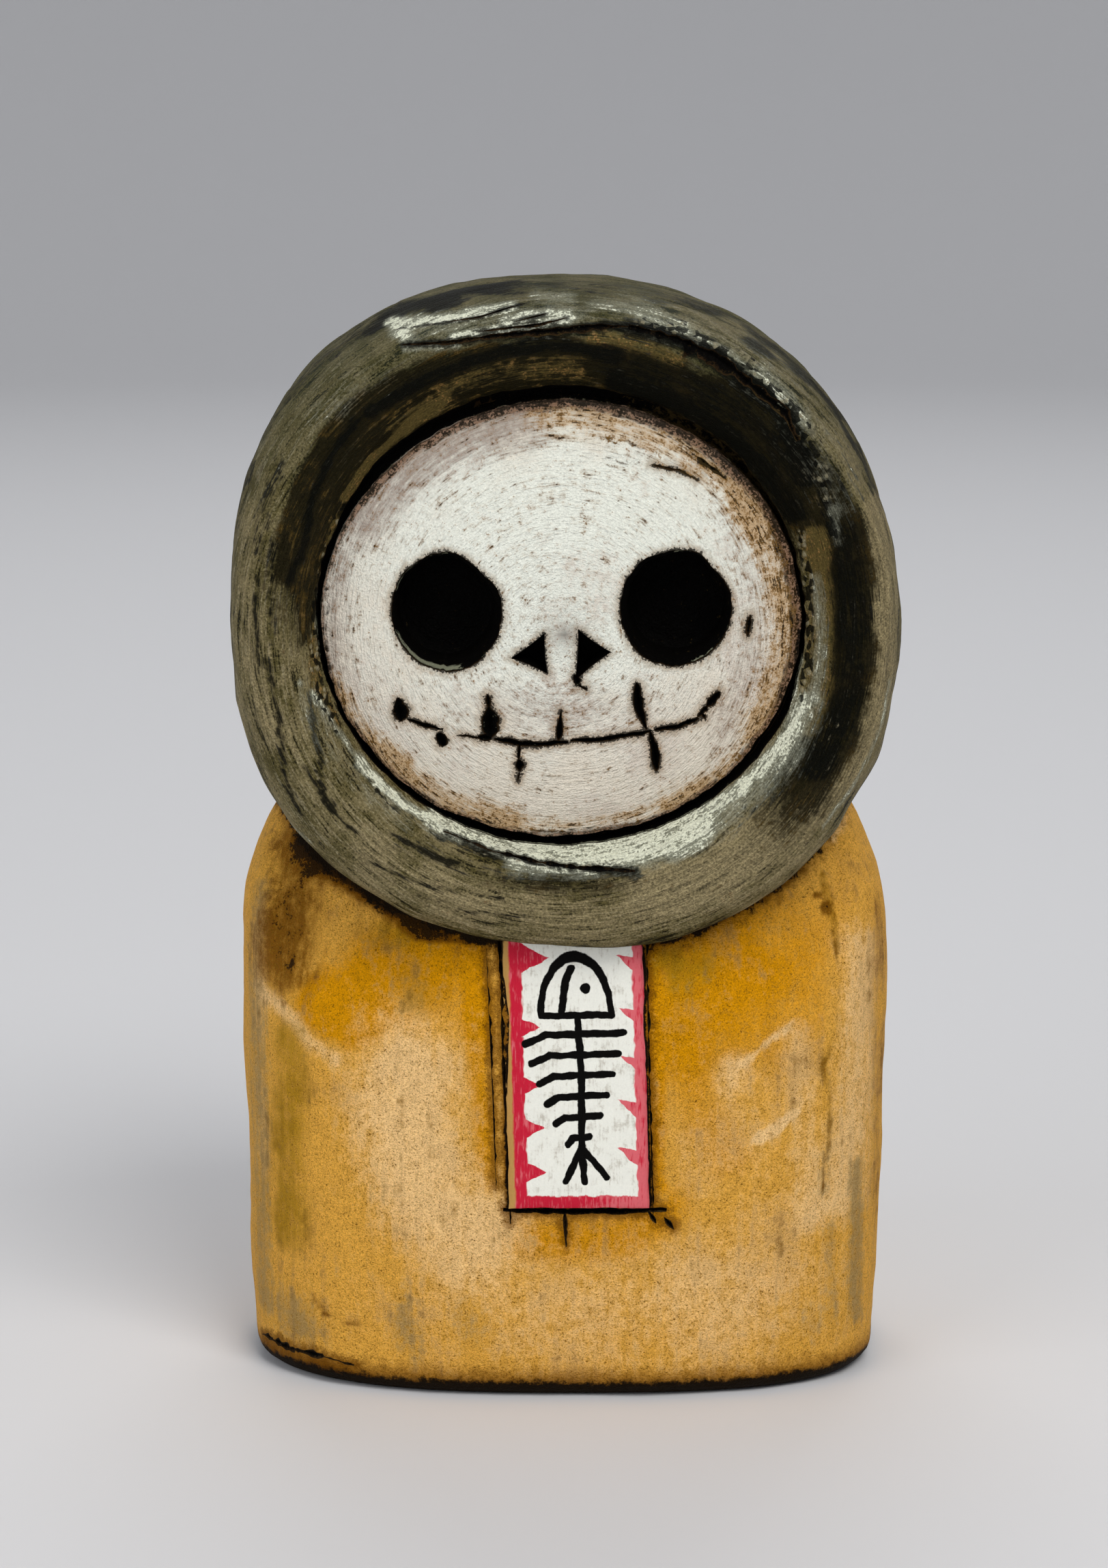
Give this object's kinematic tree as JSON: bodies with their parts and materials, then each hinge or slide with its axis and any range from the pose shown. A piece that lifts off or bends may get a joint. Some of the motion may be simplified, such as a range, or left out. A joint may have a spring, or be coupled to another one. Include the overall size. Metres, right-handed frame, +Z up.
{
  "type": "carved wooden spirit figure",
  "caption": "Small carved and painted wooden figure: a hooded skull face with a stitched mouth on a squat armless body, with a raised tag panel on its chest; stands on a flat base.",
  "frame": {"origin": "middle of the outer box's underside, on the surface that the figure stands on", "axes": "+Z up, -Y is the face and the front, +X is to the right of someone who looks at the face"},
  "size_m": [0.0888, 0.062, 0.1497],
  "materials": {
    "painted_wood": "matt hand paint over carved wood, rubbed back, with dark wax in the cuts"
  },
  "bodies": {
    "root": {"carved_figure": "painted_wood"}
  },
  "joints": []
}
